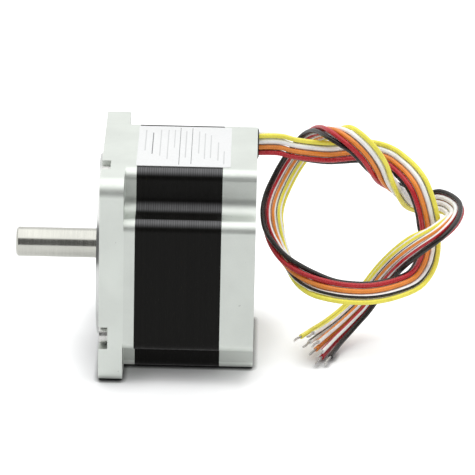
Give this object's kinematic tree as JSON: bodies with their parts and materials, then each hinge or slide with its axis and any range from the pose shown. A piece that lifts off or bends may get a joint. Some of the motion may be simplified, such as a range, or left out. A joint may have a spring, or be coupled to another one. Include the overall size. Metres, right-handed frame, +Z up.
{
  "type": "stepper motor",
  "caption": "Square-flanged hybrid stepper motor with a round output shaft, cast end covers, a black lamination stack and coloured flying leads.",
  "frame": {"origin": "on the shaft's axis, in the plane of the flange's mounting face", "axes": "-X along the output shaft towards its free end, +Z up, with the rear cap and the leads at +X"},
  "size_m": [0.1814, 0.0869, 0.0895],
  "materials": {
    "cast_aluminium": "die-cast, bead blasted, with soft rounded edges",
    "black_laminations": "stacked steel sheets, painted gloss black",
    "rotor_steel": "ground steel laminations",
    "ground_steel": "centreless ground, bright",
    "bearing_steel": "polished",
    "shield_steel": "pressed sheet",
    "screw_steel": "zinc plated",
    "cage_brass": "stamped",
    "magnet": "nickel plated",
    "copper_winding": "enamelled copper wire",
    "insulator_plastic": "moulded nylon",
    "circuit_board": "glass epoxy board with green resist",
    "grommet_rubber": "moulded rubber",
    "label_film": "blank white film",
    "lead_white": "PVC insulation, some with a coloured stripe",
    "lead_yellow": "PVC insulation",
    "lead_orange": "PVC insulation",
    "lead_red": "PVC insulation",
    "lead_black": "PVC insulation",
    "tinned_wire": "tinned copper strands"
  },
  "bodies": {
    "housing": {"front_casting": "cast_aluminium", "rear_cap": "cast_aluminium", "stator_core": "black_laminations", "front_insulator": "insulator_plastic", "rear_insulator": "insulator_plastic", "coil_1": "copper_winding", "coil_2": "copper_winding", "coil_3": "copper_winding", "coil_4": "copper_winding", "coil_5": "copper_winding", "coil_6": "copper_winding", "coil_7": "copper_winding", "coil_8": "copper_winding", "front_bearing_outer_ring": "bearing_steel", "front_bearing_shield_front": "shield_steel", "front_bearing_shield_rear": "shield_steel", "rear_bearing_outer_ring": "bearing_steel", "rear_bearing_shield_front": "shield_steel", "rear_bearing_shield_rear": "shield_steel", "wave_washer": "bearing_steel", "through_bolts": "screw_steel", "lock_washers": "screw_steel", "lead_board": "circuit_board", "lead_tails": "lead_white", "lead_grommet": "grommet_rubber", "label": "label_film", "lead_white_red": "lead_white", "lead_white_black": "lead_white", "lead_yellow": "lead_yellow", "lead_white_orange": "lead_white", "lead_orange": "lead_orange", "lead_white_yellow": "lead_white", "lead_red": "lead_red", "lead_black": "lead_black", "tip_white_red": "tinned_wire", "tip_white_black": "tinned_wire", "tip_yellow": "tinned_wire", "tip_white_orange": "tinned_wire", "tip_orange": "tinned_wire", "tip_white_yellow": "tinned_wire", "tip_red": "tinned_wire", "tip_black": "tinned_wire"},
    "rotor": {"shaft": "ground_steel", "rotor_cup_front": "rotor_steel", "rotor_magnet": "magnet", "rotor_cup_rear": "rotor_steel", "front_bearing_inner_ring": "bearing_steel", "rear_bearing_inner_ring": "bearing_steel"},
    "front_cage": {"front_bearing_balls": "bearing_steel", "front_bearing_cage": "cage_brass"},
    "rear_cage": {"rear_bearing_balls": "bearing_steel", "rear_bearing_cage": "cage_brass"}
  },
  "joints": [
    {"name": "rotor_spin", "type": "hinge", "parent": "housing", "child": "rotor", "pos_m": [0, 0, 0], "axis": [1, 0, 0], "continuous": true},
    {"name": "front_cage_spin", "type": "hinge", "parent": "housing", "child": "front_cage", "pos_m": [0.008, 0, 0], "axis": [1, 0, 0], "continuous": true},
    {"name": "rear_cage_spin", "type": "hinge", "parent": "housing", "child": "rear_cage", "pos_m": [0.054, 0, 0], "axis": [1, 0, 0], "continuous": true}
  ],
  "couplings": [
    {"joint": "front_cage_spin", "follows": "rotor_spin", "ratio": 0.381},
    {"joint": "rear_cage_spin", "follows": "rotor_spin", "ratio": 0.381}
  ]
}
